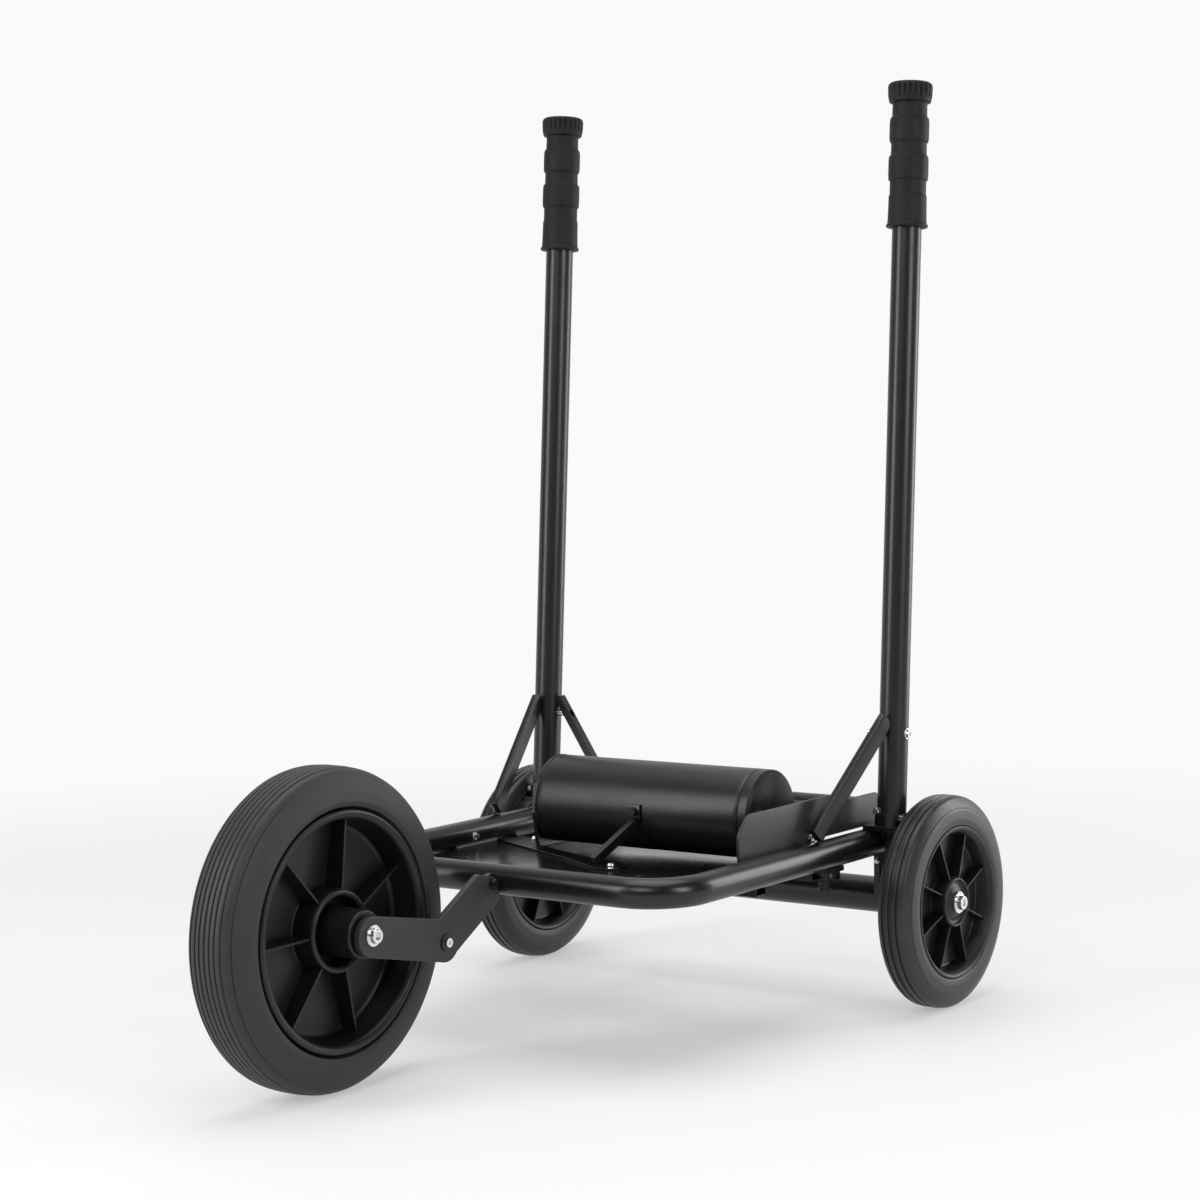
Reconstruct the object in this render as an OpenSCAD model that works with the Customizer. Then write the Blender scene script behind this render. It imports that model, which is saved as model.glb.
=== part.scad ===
// Three-wheeled push sled trainer with an upright push pole at each side
// Millimetres, +Z up, the single front wheel towards -Y, origin under the middle

/* [Overall] */
// Piece to build, or all of them
// Height of the middle of the bent frame tube
frame_z = 199; // [180:1:220]
// Height of the top of the grip caps
top_z = 1101; // [1000:1:1200]

/* [Frame tube] */
// Middle of each side rail from the centre line
rail_x = 234; // [220:1:250]
// Middle of the front tube along Y
front_y = -96; // [-110:1:-80]
// Rear end of the side rails along Y
rail_end_y = 366; // [350:1:380]
// Outer radius of the frame tube
rail_r = 17; // [14:0.5:20]
// Wall of the frame tube
rail_wall = 2; // [1:0.5:4]
// Bend radius of the frame's front corners
bend_r = 62; // [45:1:90]

/* [Poles] */
// Middle of each pole from the centre line
pole_x = 259; // [250:1:264]
// Pole position along Y at the height of the frame tube
pole_y = 331; // [320:1:340]
// Backward lean of the poles in degrees
pole_lean = 4.5; // [0:0.5:8]
// Outer radius of a pole
pole_r = 17.5; // [14:0.5:19]
// Wall of a pole
pole_wall = 2; // [1:0.5:4]
// Length of the rubber grip below the cap
grip_length = 148; // [120:1:180]
// Height of the fluted grip cap
cap_height = 24; // [16:1:34]

/* [Rear wheels] */
// Rear axle position along Y
rear_y = 373; // [360:1:380]
// Outer radius of a rear tyre
rear_r = 127; // [110:1:140]
// Middle of each rear wheel from the centre line
rear_x = 304; // [300:1:320]
// Radius where a rear tyre meets its rim
rear_seat = 91; // [80:1:100]
// Number of ribs on a rear rim
rear_ribs = 8; // [5:1:12]
// Radius of the live axle
axle_r = 10; // [8:0.5:12]

/* [Front wheel] */
// Front axle position along Y
nose_y = -325; // [-340:1:-300]
// Middle of the front wheel from the centre line
nose_x = -61; // [-70:1:-50]
// Outer radius of the front tyre
nose_r = 175; // [160:1:190]
// Radius where the front tyre meets its rim
nose_seat = 131; // [120:1:140]
// Number of ribs on the front rim
nose_ribs = 7; // [5:1:10]

/* [Drum] */
// Middle of the resistance drum along Y
drum_y = 193; // [180:1:205]
// Middle of the resistance drum above the ground
drum_z = 245.5; // [240:0.5:255]
// Outer radius of the drum
drum_r = 53; // [48:0.5:58]
// Left end of the drum shell
drum_left = -131; // [-140:1:-120]
// Right end of the drum shell
drum_right = 179; // [170:1:190]

/* [Arm] */
// Outer face of the front arm plate
arm_face = 13; // [10:0.5:18]
// Thickness of the front arm plate
arm_thick = 8; // [6:0.5:10]
// Half width of the front arm plate
arm_half = 22; // [18:0.5:25]

/* [Belt drive] */
// Middle of the belt from the centre line
belt_x = -149; // [-152:1:-148]
// Radius of the small pulley on the rotor shaft
small_pulley = 16; // [14:0.5:20]
// Radius of the large pulley on the live axle
large_pulley = 42; // [36:0.5:46]

/* [Hidden] */
$fn = 96;
gap = 0.1;
rear_z = rear_r;
nose_z = nose_r;
rail_in = rail_r - rail_wall;
pole_in = pole_r - pole_wall;
pole_top = (top_z - frame_z) / cos(pole_lean);
foot_top = frame_z + rail_r + 5;
deck_top = 188;
bar_top = deck_top - 3;
bar_front_y = 96;
bar_rear_y = 215;
cross_z = 236;
cross_y = pole_y + (cross_z - frame_z) * tan(pole_lean);
housing_r = 21.5;
knee_y = -204;
knee_z = 147;

// ---- helpers ----

module along_x(x0, x1, y, z) {
  translate([x0, y, z]) rotate([0, 90, 0]) children();
}

module rod_x(x0, x1, y, z, r) {
  translate([x0, y, z]) rotate([0, 90, 0]) cylinder(r = r, h = x1 - x0);
}

module pipe_x(x0, x1, y, z, r, r_in) {
  difference() {
    rod_x(x0, x1, y, z, r);
    rod_x(x0 - 1, x1 + 1, y, z, r_in);
  }
}

module rod_y(x, y0, y1, z, r) {
  translate([x, y0, z]) rotate([-90, 0, 0]) cylinder(r = r, h = y1 - y0);
}

module on_pole(side) {
  translate([side * pole_x, pole_y, frame_z]) rotate([-pole_lean, 0, 0]) children();
}

// a straight bar from one point to another, w across X and h across its own slope
module bar_between(from, to, w, h, extra = 0) {
  d = to - from;
  flat = norm([d[0], d[1]]);
  translate(from)
    rotate([0, 0, atan2(-d[0], d[1])])
      rotate([atan2(d[2], flat), 0, 0])
        translate([-w / 2, -extra, -h / 2])
          cube([w, norm(d) + 2 * extra, h]);
}

module hex_head(r, h) {
  cylinder(r = r, h = h, $fn = 6);
}

// profile points are [radius, position along the wheel's axle]
module turned_x(x, y, z) {
  translate([x, y, z]) rotate([0, 90, 0]) rotate_extrude() children();
}

module mirrored(side) {
  if (side < 0) mirror([1, 0, 0]) children();
  else children();
}

// ---- frame ----

module frame_core(r) {
  straight_y = front_y + bend_r;
  for (side = [-1, 1]) {
    rod_y(side * rail_x, straight_y, rail_end_y, frame_z, r);
  }
  rod_x(-rail_x + bend_r, rail_x - bend_r, front_y, frame_z, r);
  translate([rail_x - bend_r, straight_y, frame_z])
    rotate([0, 0, -90]) rotate_extrude(angle = 90) translate([bend_r, 0]) circle(r = r);
  translate([-rail_x + bend_r, straight_y, frame_z])
    rotate([0, 0, 180]) rotate_extrude(angle = 90) translate([bend_r, 0]) circle(r = r);
}

module main_frame_tube() color([0.06, 0.06, 0.065]) {
  difference() {
    frame_core(rail_r);
    frame_core(rail_in);
    translate([-rail_x, rail_end_y - 1, frame_z]) rotate([-90, 0, 0]) cylinder(r = rail_in, h = 3);
    translate([rail_x, rail_end_y - 1, frame_z]) rotate([-90, 0, 0]) cylinder(r = rail_in, h = 3);
  }
}

module rail_plug(side) color([0.04, 0.04, 0.04]) {
  translate([side * rail_x, rail_end_y - 14, frame_z]) rotate([-90, 0, 0])
    cylinder(r = rail_in - gap, h = 14);
  translate([side * rail_x, rail_end_y, frame_z]) rotate([-90, 0, 0]) {
    cylinder(r = rail_r, h = 2.5);
    translate([0, 0, 2.5]) cylinder(r1 = rail_r, r2 = rail_r - 2, h = 1.5);
  }
}

module rail_plug_left() rail_plug(-1);
module rail_plug_right() rail_plug(1);

// square cross bars under the deck, their ends shaped to the rails
module cross_bar(y, w) color([0.06, 0.06, 0.065]) {
  difference() {
    translate([-rail_x, y - w / 2, bar_top - 16]) cube([2 * rail_x, w, 16]);
    translate([-rail_x, y - w / 2 - 1, bar_top - 16 - 1]) cube([8, w + 2, 18]);
    translate([rail_x - 8, y - w / 2 - 1, bar_top - 16 - 1]) cube([8, w + 2, 18]);
    translate([-rail_x + 6, y - w / 2 + 2, bar_top - 14]) cube([2 * rail_x - 12, w - 4, 12]);
    for (side = [-1, 1])
      rod_y(side * rail_x, y - 20, y + 20, frame_z, rail_r + gap);
  }
}

module front_cross_bar() cross_bar(bar_front_y, 20);
module rear_cross_bar() cross_bar(bar_rear_y, 20);

module rear_cross_tube() color([0.06, 0.06, 0.065]) {
  difference() {
    // from the left pole to the inside of the side plate
    pipe_x(-pole_x + 6, 218.9, cross_y, cross_z, 15, 13);
    on_pole(-1) cylinder(r = pole_r + gap, h = 120);
  }
}

module axle_housing_left() color([0.06, 0.06, 0.065])
  pipe_x(-268, -188, rear_y, rear_z, housing_r, 19.5);
module axle_housing_right() color([0.06, 0.06, 0.065])
  pipe_x(-132, 268, rear_y, rear_z, housing_r, 19.5);

// plate hung under each rail that grips the axle housing
module axle_bracket(side) color([0.06, 0.06, 0.065]) {
  difference() {
    union() {
      rod_x(side * 240 - 4, side * 240 + 4, rear_y, rear_z, 29);
      translate([side * 240 - 4, rear_y - 44, rear_z + 6]) cube([8, 37, frame_z - rail_r - rear_z + 2]);
      translate([side * 240 - 4, rear_y - 26, rear_z + 2]) cube([8, 44, 30]);
    }
    rod_x(side * 240 - 5, side * 240 + 5, rear_y, rear_z, housing_r + gap);
    rod_y(side * rail_x, rear_y - 60, rear_y + 60, frame_z, rail_r + gap);
  }
}

module axle_bracket_left() axle_bracket(-1);
module axle_bracket_right() axle_bracket(1);

// ---- poles ----

module pole_foot(side) color([0.05, 0.05, 0.055]) {
  difference() {
    union() {
      translate([side * 256 - 24, pole_y - 20, foot_top - 5.9]) cube([48, 44, 5.9]);
      translate([side * 254 - 2.8, pole_y - 2, frame_z - 14]) cube([5.6, 26, rail_r + 15]);
      difference() {
        union() {
          on_pole(side) cylinder(r = pole_r + 2.6, h = 36);
          // outer ear that carries the clamping bolt
          translate([side * 277 - 3.5, pole_y - 4, foot_top]) cube([7, 9, 15]);
        }
        on_pole(side) translate([0, 0, 24]) cylinder(r = pole_r + gap, h = 40);
        translate([side * 259 - 30, pole_y - 40, 100]) cube([60, 90, foot_top - 100]);
        rod_x(-262, -200, cross_y, cross_z, 15 + gap);
      }
      intersection() {
        on_pole(side) cylinder(r = pole_in - 0.2, h = 78);
        translate([side * 259 - 30, pole_y - 40, foot_top - 1]) cube([60, 90, 90]);
      }
    }
    rod_y(side * rail_x, pole_y - 60, pole_y + 60, frame_z, rail_r + gap);
  }
}

module pole_foot_left() pole_foot(-1);
module pole_foot_right() pole_foot(1);

module push_pole(side) color([0.05, 0.05, 0.055]) {
  difference() {
    on_pole(side) difference() {
      translate([0, 0, 24]) cylinder(r = pole_r, h = pole_top - 26 - 24);
      translate([0, 0, 20]) cylinder(r = pole_in, h = pole_top);
    }
    rod_x(side * pole_x - 40, side * pole_x + 40, bolt_y(), bolt_z(), 4.1);
  }
}

function bolt_z() = 330;
function bolt_y() = pole_y + (330 - frame_z) * tan(pole_lean);

module push_pole_left() push_pole(-1);
module push_pole_right() push_pole(1);

// stepped rubber sleeve: rows are [height from its bottom, radius]
module grip(side) color([0.035, 0.035, 0.037]) {
  low = pole_top - cap_height - grip_length;
  on_pole(side) translate([0, 0, low]) rotate_extrude()
    polygon([
      [pole_r + gap, 0], [24.2, 0], [24.8, 1], [24.8, 3], [23.6, 4.4], [23.2, 6], [22.8, 20],
      [22.6, 37], [21.9, 38.4], [21.6, 40], [21.6, 54.4], [22.4, 55.6], [23.4, 56.6], [23.8, 62],
      [23.8, 79], [23.4, 84], [22.2, 85.2], [21.3, 86.6], [21.1, 99.6], [22, 101], [23, 102.2],
      [23.5, 107], [23.5, 124], [23, 129], [21.8, 130.6], [20.8, 132], [20.6, 145.6], [21, grip_length],
      [pole_r + gap, grip_length]
    ]);
}

module grip_left() grip(-1);
module grip_right() grip(1);

// plug with a ring of shallow flutes
module grip_cap(side) color([0.035, 0.035, 0.037]) {
  on_pole(side) translate([0, 0, pole_top - cap_height]) difference() {
    union() {
      rotate_extrude() polygon([
        [0, 0], [24.5, 0], [26.4, 2], [26.4, cap_height - 4], [24.4, cap_height - 1.2],
        [21, cap_height], [0, cap_height]
      ]);
    }
    for (k = [0:23]) rotate([0, 0, k * 15])
      translate([27.6, 0, -1]) cylinder(r = 2.2, h = cap_height + 2, $fn = 16);
  }
  on_pole(side) translate([0, 0, pole_top - 26 - 18]) difference() {
    cylinder(r = pole_in - 0.2, h = 18);
    translate([0, 0, -1]) cylinder(r = pole_in - 3, h = 16);
  }
  on_pole(side) translate([0, 0, pole_top - 26 - 0.1]) cylinder(r = pole_in - 0.2, h = 2.2);
}

module grip_cap_left() grip_cap(-1);
module grip_cap_right() grip_cap(1);

// ---- braces ----

module forward_brace(side) color([0.06, 0.06, 0.065]) {
  difference() {
    bar_between([side * 235, 189, 214], [side * 260, 321, 348], 10, 20, 4);
    rod_y(side * rail_x, 100, 300, frame_z, rail_r + gap);
    on_pole(side) translate([0, 0, 60]) cylinder(r = pole_r + gap, h = 200);
    translate([side * 236 - 30, 150, 160]) cube([60, 80, frame_z + 12 - 160]);
    rod_x(side > 0 ? 210 : -230, side > 0 ? 230 : -210, 207, 219.5, 4.4);
  }
}

module forward_brace_left() forward_brace(-1);
module forward_brace_right() forward_brace(1);

module inward_brace() color([0.06, 0.06, 0.065]) {
  side = -1;
  difference() {
    bar_between([side * 172, 338, 252], [side * 236, 341.5, 345], 10, 10, 6);
    on_pole(side) cylinder(r = pole_r + gap, h = 200);
    rod_x(-300, 300, cross_y, cross_z, 15 + gap);
    rod_x(side * pole_x - 60, side * pole_x + 60, bolt_y(), bolt_z(), 4.1);
  }
}

module pole_bolts() color([0.75, 0.75, 0.76]) {
  for (side = [-1, 1]) mirrored(side) {
    y = bolt_y();
    rod_x(pole_x - 34, pole_x + pole_r + 1, y, 330, 4);
    difference() {
      rod_x(pole_x + pole_r - 1, pole_x + pole_r + 1.4, y, 330, 6.4);
      on_pole(1) cylinder(r = pole_r + 0.05, h = 200);
    }
    difference() {
      rod_x(pole_x + pole_r + 1.4, pole_x + pole_r + 5, y, 330, 5.2);
      rod_x(pole_x + pole_r + 2.8, pole_x + pole_r + 8, y, 330, 2.8);
    }
  }
}

module foot_bolts() color([0.75, 0.75, 0.76]) {
  for (side = [-1, 1]) mirrored(side) {
    difference() {
      translate([277, pole_y - 4.1, foot_top + 10]) rotate([90, 0, 0]) {
        cylinder(r = 3.4, h = 4);
        translate([0, 0, 4]) hex_head(3, 2.6);
      }
      on_pole(1) cylinder(r = pole_r + 2.7, h = 40);
    }
    translate([241, rear_y - 44.1, frame_z - rail_r - 6]) rotate([90, 0, 0]) {
      cylinder(r = 3, h = 1);
      translate([0, 0, 1]) hex_head(2.8, 2.6);
    }
  }
  // one more through the right pole, above its foot
  difference() {
    translate([247, pole_y - 7, 238]) rotate([90, 0, 0]) {
      cylinder(r = 4.4, h = 7);
      translate([0, 0, 7]) hex_head(3.6, 2.6);
    }
    on_pole(1) cylinder(r = pole_r + 2.7, h = 36.2);
    on_pole(1) cylinder(r = pole_r + 0.05, h = 200);
  }
}

// ---- deck ----

module deck_plate() color([0.03, 0.03, 0.032]) {
  difference() {
    union() {
      translate([-rail_x + 14, front_y + bend_r - 8, deck_top - 3])
        cube([2 * rail_x - 28, bar_rear_y - 5 - front_y - bend_r + 8, 3]);
      translate([-rail_x + bend_r, front_y + 12, deck_top - 3])
        cube([2 * (rail_x - bend_r), bend_r, 3]);
      for (side = [-1, 1])
        translate([side * (rail_x - bend_r), front_y + bend_r, deck_top - 3])
          cylinder(r = bend_r - 13, h = 3);
      // low pressed bead along the plate
      for (x = [90, 150]) translate([x, -60, deck_top]) cube([10, 110, 1.2]);
    }
    frame_core(rail_r + gap);
    for (p = deck_screws()) translate([p[0], p[1], deck_top - 5]) cylinder(r = 2.6, h = 10);
  }
}

function deck_screws() = [[-170, 192], [30, bar_front_y - 18]];

module deck_bolts() color([0.75, 0.75, 0.76]) {
  // two in the inner sides of the rails, one in the drum's foot, one in the strut's foot
  for (side = [-1, 1]) mirrored(side) difference() {
    union() {
      rod_x(rail_x - rail_r - 1.6, rail_x - rail_r + 1, 132, frame_z, 5.2);
      rod_x(rail_x - rail_r - 4.4, rail_x - rail_r - 1.5, 132, frame_z, 4);
    }
    rod_y(rail_x, 100, 160, frame_z, rail_r + 0.05);
  }
  translate([-170, 192, deck_top - 2.9]) {
    cylinder(r = 2.5, h = 6);
    translate([0, 0, 5.3]) cylinder(r = 5.2, h = 1.2);
    translate([0, 0, 6.5]) cylinder(r1 = 4.6, r2 = 3.4, h = 2.4);
  }
  translate([30, bar_front_y - 18, deck_top - 2.9]) {
    cylinder(r = 2.5, h = 6);
    translate([0, 0, 5.3]) cylinder(r = 4.8, h = 1);
    translate([0, 0, 6.3]) hex_head(3.8, 2.2);
  }
}

// strap lying on the deck from the drum's left foot to the strut's foot
module deck_strap() color([0.05, 0.05, 0.055]) {
  difference() {
    union() {
      translate([0, 0, deck_top]) linear_extrude(2.2)
        polygon([
          [-214, 172], [-112, 126], [-60, 104], [18, 60], [38, 58], [48, 68], [48, 88], [40, 96],
          [-50, 124], [-104, 146], [-146, 166], [-158, 176], [-158, 204], [-182, 204], [-214, 188]
        ]);
    }
    for (p = deck_screws()) translate([p[0], p[1], deck_top - 1]) cylinder(r = 2.6, h = 6);
    rod_y(-rail_x, 100, 240, frame_z, rail_r + gap);
    translate([-140.1, drum_y - 39, 150]) cube([5.2, 84, 100]);
  }
}

module drum_strut() color([0.06, 0.06, 0.065]) {
  difference() {
    bar_between([4, 84, deck_top + 7], [22, drum_y - drum_r - 4, 231], 10, 10, 3);
    translate([-60, 0, deck_top - 20]) cube([160, 200, 22.3]);
    rod_x(-20, 60, drum_y, drum_z, drum_r + 3.2);
  }
}

module strut_clamp() color([0.05, 0.05, 0.055]) {
  difference() {
    union() {
      intersection() {
        rod_x(15, 30, drum_y, drum_z, drum_r + 3);
        translate([0, drum_y - drum_r - 10, 234]) cube([50, 24, 20]);
      }
    }
    rod_x(-20, 60, drum_y, drum_z, drum_r + 0.05);
  }
  translate([22, drum_y - drum_r - 2.4, 245.5]) rotate([90, 0, 0]) {
    cylinder(r = 6, h = 1.6);
    translate([0, 0, 1.6]) hex_head(5.2, 4);
  }
}

module side_plate() color([0.06, 0.06, 0.065]) {
  difference() {
    union() {
      translate([219, 0, 0]) rotate([90, 0, 90]) linear_extrude(4)
        polygon(concat(
          [[58, 214], [64, 209], [214, 209], [221, 216.4], [362, 216.4], [366, 220], [366, 254],
           [292, 254], [280, 264], [78, 264]],
          [for (a = [100:16:164]) [78 + 20 * cos(a), 244 + 20 * sin(a)]],
          [[58, 244]]
        ));
      // folded lip along the lower edge, lying on the inside of the rail
      for (y = [84, 200]) translate([216.5, y - 9, frame_z + 4]) cube([3, 18, 30]);
    }
    rod_y(rail_x, 0, 400, frame_z, rail_r + gap);
    rod_x(210, 230, 207, 219.5, 2.6);
  }
}

module side_plate_bolt() color([0.75, 0.75, 0.76]) {
  rod_x(216, 224, 207, 219.5, 2.5);
  rod_x(223.05, 224.2, 207, 219.5, 4.2);
  rod_x(224.2, 227.2, 207, 219.5, 3.5);
}

// ---- drum ----

module drum_shell() color([0.05, 0.05, 0.055])
  pipe_x(drum_left + 6, drum_right - 14, drum_y, drum_z, drum_r, drum_r - 2.5);

module drum_cap_left() color([0.045, 0.045, 0.05]) {
  turned_x(drum_left, drum_y, drum_z)
    polygon([
      [16.05, 0], [drum_r - 2, 0], [drum_r + 0.6, 1.4], [drum_r + 0.6, 4.4], [drum_r - 0.4, 5.6],
      [drum_r - 2.7, 5.8], [drum_r - 2.7, 14], [drum_r - 7, 14], [drum_r - 7, 6], [22, 6], [22, 16],
      [16.05, 16]
    ]);
}

// deep cap with a flat face and a fine seam where it meets the shell
module drum_cap_right() color([0.06, 0.06, 0.065]) {
  turned_x(drum_right, drum_y, drum_z)
    polygon([
      [0, 0.6], [drum_r - 5, 0.6], [drum_r - 4.4, 0], [drum_r - 1.4, 0], [drum_r, -1.6],
      [drum_r, -12.6], [drum_r - 0.6, -13.8], [drum_r - 2.7, -13.9], [drum_r - 2.7, -22],
      [drum_r - 7, -22], [drum_r - 7, -6], [22, -6], [22, -18], [16.05, -18], [16.05, -5], [0, -5]
    ]);
  along_x(drum_right, 0, drum_y - 36, drum_z + 6)
    cylinder(r = 5.5, h = 7);
  along_x(drum_right + 7, 0, drum_y - 36, drum_z + 6)
    cylinder(r = 3.6, h = 5);
}

// plate that ties the drum's left end, the cross bars and the axle housing together
module drive_plate() color([0.06, 0.06, 0.065]) {
  difference() {
    translate([-140, 0, 0]) rotate([90, 0, 90]) linear_extrude(5)
      polygon([
        [drum_y - 36, deck_top + 0.1], [bar_rear_y + 10 + gap, deck_top + 0.1], [bar_rear_y + 10 + gap, 168],
        [rear_y - 40, rear_z - 16], [rear_y - 18, rear_z - 34], [rear_y + 18, rear_z - 34],
        [rear_y + 34, rear_z - 14], [rear_y + 34, rear_z + 14], [rear_y + 14, rear_z + 36],
        [300, 208], [drum_y + 36, drum_z + 26], [drum_y + 18, drum_z + 42], [drum_y - 18, drum_z + 42],
        [drum_y - 40, drum_z + 22], [drum_y - 44, drum_z - 14]
      ]);
    rod_x(-150, -130, drum_y, drum_z, 18);
    rod_x(-150, -130, rear_y, rear_z, housing_r + gap);
  }
  rod_x(-135, -131, drum_y - 30, drum_z + 24, 7);
  rod_x(-135, -131, drum_y + 26, drum_z + 24, 7);
}

module drum_hanger() color([0.06, 0.06, 0.065]) {
  difference() {
    translate([drum_right + 1, 0, 0]) rotate([90, 0, 90]) linear_extrude(4)
      polygon([
        [drum_y - 40, deck_top + 0.1], [bar_rear_y - 6, deck_top + 0.1], [bar_rear_y + 6, deck_top + 10],
        [drum_y + 34, drum_z - 14],
        [drum_y - 30, drum_z - 14], [drum_y - 40, drum_z - 30]
      ]);
  }
}

// ribbed gland and its small bracket under the right rail
module rail_gland() color([0.07, 0.07, 0.075]) {
  difference() {
    union() {
      translate([226, 211, frame_z - rail_r - 5]) cube([16, 40, 6]);
      translate([232, 240, frame_z - rail_r - 16]) cube([4, 12, 12]);
      translate([234, 219, 156]) {
        cylinder(r = 5.4, h = 24);
        for (k = [0:4]) translate([0, 0, 1 + k * 4.4]) cylinder(r = 6.8, h = 2.4);
      }
    }
    rod_y(rail_x, 180, 280, frame_z, rail_r + gap);
    rod_x(230, 240, 246, frame_z - rail_r - 11, 2.2);
  }
}

// ---- front arm ----

module arm_lug() color([0.06, 0.06, 0.065]) {
  difference() {
    translate([arm_face - 2 * arm_thick - 0.1, 0, 0]) rotate([90, 0, 90]) linear_extrude(arm_thick)
      polygon([[-96, 181], [-124, 178], [-136, 186], [-134, 198], [-126, 205], [-112, 208], [-96, 208]]);
    rod_x(-40, 40, front_y, frame_z, rail_r + gap);
    rod_x(-40, 40, -121.7, 199, 4.1);
    translate([-40, front_y + 2, 150]) cube([80, 60, 100]);
  }
}

// one flat boomerang plate from the frame tube down to the knee and on to the hub
module front_arm() color([0.07, 0.07, 0.072]) {
  difference() {
    translate([arm_face - arm_thick, 0, 0]) rotate([90, 0, 90]) linear_extrude(arm_thick)
      polygon(concat(
        [[-212.5, 173.4], [-147, 211.6], [-143, 212.4], [-118, 206], [-100, 200], [-98, 184], [-110, 176]],
        [for (a = [-38:-13:-104]) [knee_y + arm_half * cos(a), knee_z + arm_half * sin(a)]],
        [for (a = [-104:-12:-280]) [nose_y + 1 + arm_half * cos(a), nose_z - 2 + arm_half * sin(a)]]
      ));
    rod_x(-40, 40, front_y, frame_z, rail_r + gap);
    rod_x(-40, 40, nose_y, nose_z, 8.05);
    rod_x(-40, 40, knee_y, knee_z, 5.05);
    rod_x(-40, 40, -121.7, 199, 4.1);
  }
}

module top_arm_bolt() color([0.07, 0.07, 0.072]) {
  rod_x(arm_face - 2 * arm_thick - 4, arm_face + 0.5, -121.7, 199, 4);
  along_x(arm_face + 0.1, 0, -121.7, 199) { cylinder(r = 6.6, h = 1.4); translate([0, 0, 1.4]) hex_head(5.4, 4.2); }
  along_x(arm_face - 2 * arm_thick - 5, 0, -121.7, 199) hex_head(5.6, 4.8);
}

module knee_washer() color([0.07, 0.07, 0.072])
  pipe_x(arm_face + 0.1, arm_face + 2, knee_y, knee_z, 9.6, 5.05);

module knee_bolt() color([0.75, 0.75, 0.76]) {
  rod_x(arm_face - arm_thick - 4, arm_face + 2.2, knee_y, knee_z, 5);
  along_x(arm_face + 2.05, 0, knee_y, knee_z) difference() {
    cylinder(r = 5.2, h = 2.8);
    translate([0, 0, 1]) hex_head(2.4, 3);
  }
  along_x(arm_face - arm_thick - 5, 0, knee_y, knee_z) hex_head(8, 4.9);
}

module front_axle() color([0.72, 0.72, 0.73]) {
  rod_x(nose_x - 43, arm_face + 2, nose_y, nose_z, 8);
  rod_x(nose_x - 46, nose_x - 42.5, nose_y, nose_z, 14);
  along_x(nose_x - 53, 0, nose_y, nose_z) hex_head(12, 7);
  rod_x(arm_face + 0.05, arm_face + 2.6, nose_y, nose_z, 11.4);
  along_x(arm_face + 2.6, 0, nose_y, nose_z) difference() {
    cylinder(r1 = 8.6, r2 = 7.6, h = 5.4);
    translate([0, 0, 2.4]) hex_head(4.6, 6);
  }
}

// ---- wheels ----

module ribs(count, r0, r1, half, thick, first) {
  for (k = [0:count - 1])
    rotate([0, 0, first + k * 360 / count])
      translate([r0, -thick / 2, -half]) cube([r1 - r0, thick, 2 * half]);
}

module front_tyre() color([0.045, 0.045, 0.047]) {
  s = nose_seat + 0.05;
  side = [[s, 36], [s + 1.6, 37], [s + 8, 37.2], [s + 18, 35.6], [s + 28, 33], [s + 33.4, 30.8],
          [nose_r - 9.6, 30.2], [nose_r - 10, 28.8], [nose_r - 8.2, 28.6], [nose_r - 4.6, 25.8],
          [nose_r - 2, 22], [nose_r - 3.4, 21.2], [nose_r - 3.4, 20], [nose_r - 1.2, 19.2],
          [nose_r - 0.5, 14.6], [nose_r - 2.2, 14], [nose_r - 2.2, 13], [nose_r - 0.4, 12.4],
          [nose_r, 8], [nose_r - 1.8, 7.4], [nose_r - 1.8, 6.4], [nose_r, 5.8],
          [nose_r, 1.2], [nose_r - 1.8, 0.5]];
  n = len(side);
  turned_x(nose_x, nose_y, nose_z)
    polygon(concat(side, [for (k = [n - 1:-1:0]) [side[k][0], -side[k][1]]]));
}

// each half is dished: the web sits in the middle and the ribs cross the dish
module front_rim() color([0.035, 0.035, 0.037]) {
  translate([nose_x, nose_y, nose_z]) rotate([0, 90, 0]) {
    rotate_extrude() polygon([
      [nose_seat, -35.6], [nose_seat - 0.4, -37], [nose_seat - 2, -37.9], [nose_seat - 5, -38],
      [nose_seat - 9, -36.6], [nose_seat - 11, -33], [nose_seat - 12, -26], [nose_seat - 16, -5],
      [nose_seat - 20, -3], [47, -3], [45.6, -24], [44.6, -29], [41.6, -31], [38.6, -29.6], [37.4, -26], [36.4, -8],
      [27, -8], [26, -36], [24, -38], [16.1, -38], [16.1, -26], [12, -26], [12, 52], [16.1, 52], [16.1, 64], [24.6, 64],
      [26, 62.4], [26.6, 10], [36.4, 8], [37.4, 26], [38.6, 29.6], [41.6, 31], [44.6, 29], [45.6, 24], [47, 3],
      [nose_seat - 20, 3], [nose_seat - 16, 5], [nose_seat - 12, 26], [nose_seat - 11, 33],
      [nose_seat - 9, 36.6], [nose_seat - 5, 38], [nose_seat - 2, 37.9], [nose_seat - 0.4, 37],
      [nose_seat, 35.6]
    ]);
    for (k = [0:nose_ribs - 1]) rotate([0, 0, 169 + k * 360 / nose_ribs])
      translate([0, 1.6, 0]) rotate([90, 0, 0]) linear_extrude(3.2)
        polygon([[44.5, -26], [nose_seat - 12.4, -21], [nose_seat - 15, 0], [nose_seat - 12.4, 21], [44.5, 26]]);
  }
}

module front_bearings() color([0.6, 0.6, 0.62]) {
  pipe_x(nose_x - 38, nose_x - 26.1, nose_y, nose_z, 16.05, 8.05);
  pipe_x(nose_x + 52.1, nose_x + 64, nose_y, nose_z, 16.05, 8.05);
}

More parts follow.
